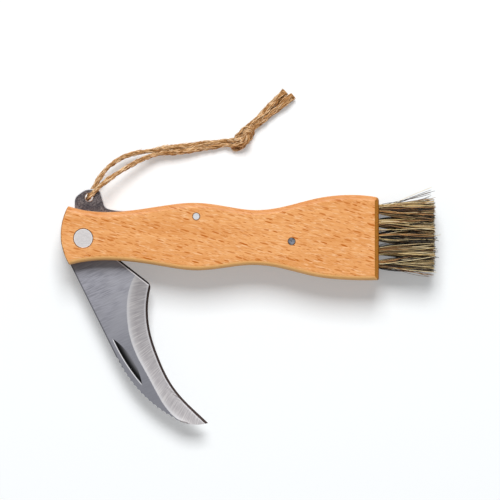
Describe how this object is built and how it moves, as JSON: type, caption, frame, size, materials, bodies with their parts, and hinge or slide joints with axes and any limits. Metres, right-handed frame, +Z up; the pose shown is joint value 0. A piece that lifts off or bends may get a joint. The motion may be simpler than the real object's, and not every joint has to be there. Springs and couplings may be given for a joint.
{
  "type": "foraging knife",
  "caption": "Folding mushroom knife with a hooked blade, a waisted beech handle, a bristle brush in its butt and a knotted jute lanyard.",
  "frame": {"origin": "the blade's pivot axis where it meets the face that the handle rests on", "axes": "+X along the handle towards the brush, +Y towards the handle's back, +Z up through its thickness, with the knife lying on its side"},
  "size_m": [0.161, 0.1428, 0.019],
  "materials": {
    "beech": "oiled beech, light orange with short darker flecks along the handle",
    "blade_steel": "brushed stainless, the ground bevel brushed across the edge",
    "spring_steel": "dark heat treated steel, mottled, with bright edges",
    "rivet_metal": "flat turned head, satin",
    "pin_steel": "ground flush with the wood",
    "washer_brass": "plain",
    "anchor_wire": "drawn wire",
    "bristle": "mixed natural bristle, black, brown and straw",
    "jute": "twisted jute twine with loose fibres"
  },
  "bodies": {
    "handle": {"handle_block": "beech", "back_spring": "spring_steel", "rivet_front": "rivet_metal", "rivet_rear": "rivet_metal", "pivot_washers": "washer_brass", "spring_pin": "pin_steel", "tail_pin": "pin_steel", "anchor_wires": "anchor_wire", "tuft_01": "bristle", "tuft_02": "bristle", "tuft_03": "bristle", "tuft_04": "bristle", "tuft_05": "bristle", "tuft_06": "bristle", "tuft_07": "bristle", "tuft_08": "bristle", "tuft_09": "bristle", "tuft_10": "bristle", "tuft_11": "bristle", "tuft_12": "bristle", "tuft_13": "bristle", "tuft_14": "bristle", "tuft_15": "bristle", "twine_front": "jute", "twine_rear": "jute", "twine_knot": "jute", "twine_tail_upper": "jute", "twine_tail_lower": "jute"},
    "blade": {"blade": "blade_steel"}
  },
  "joints": [
    {"name": "blade_pivot", "type": "hinge", "parent": "handle", "child": "blade", "pos_m": [0, 0, 0.0095], "axis": [0, 0, 1], "range_deg": [-116, 52]}
  ]
}
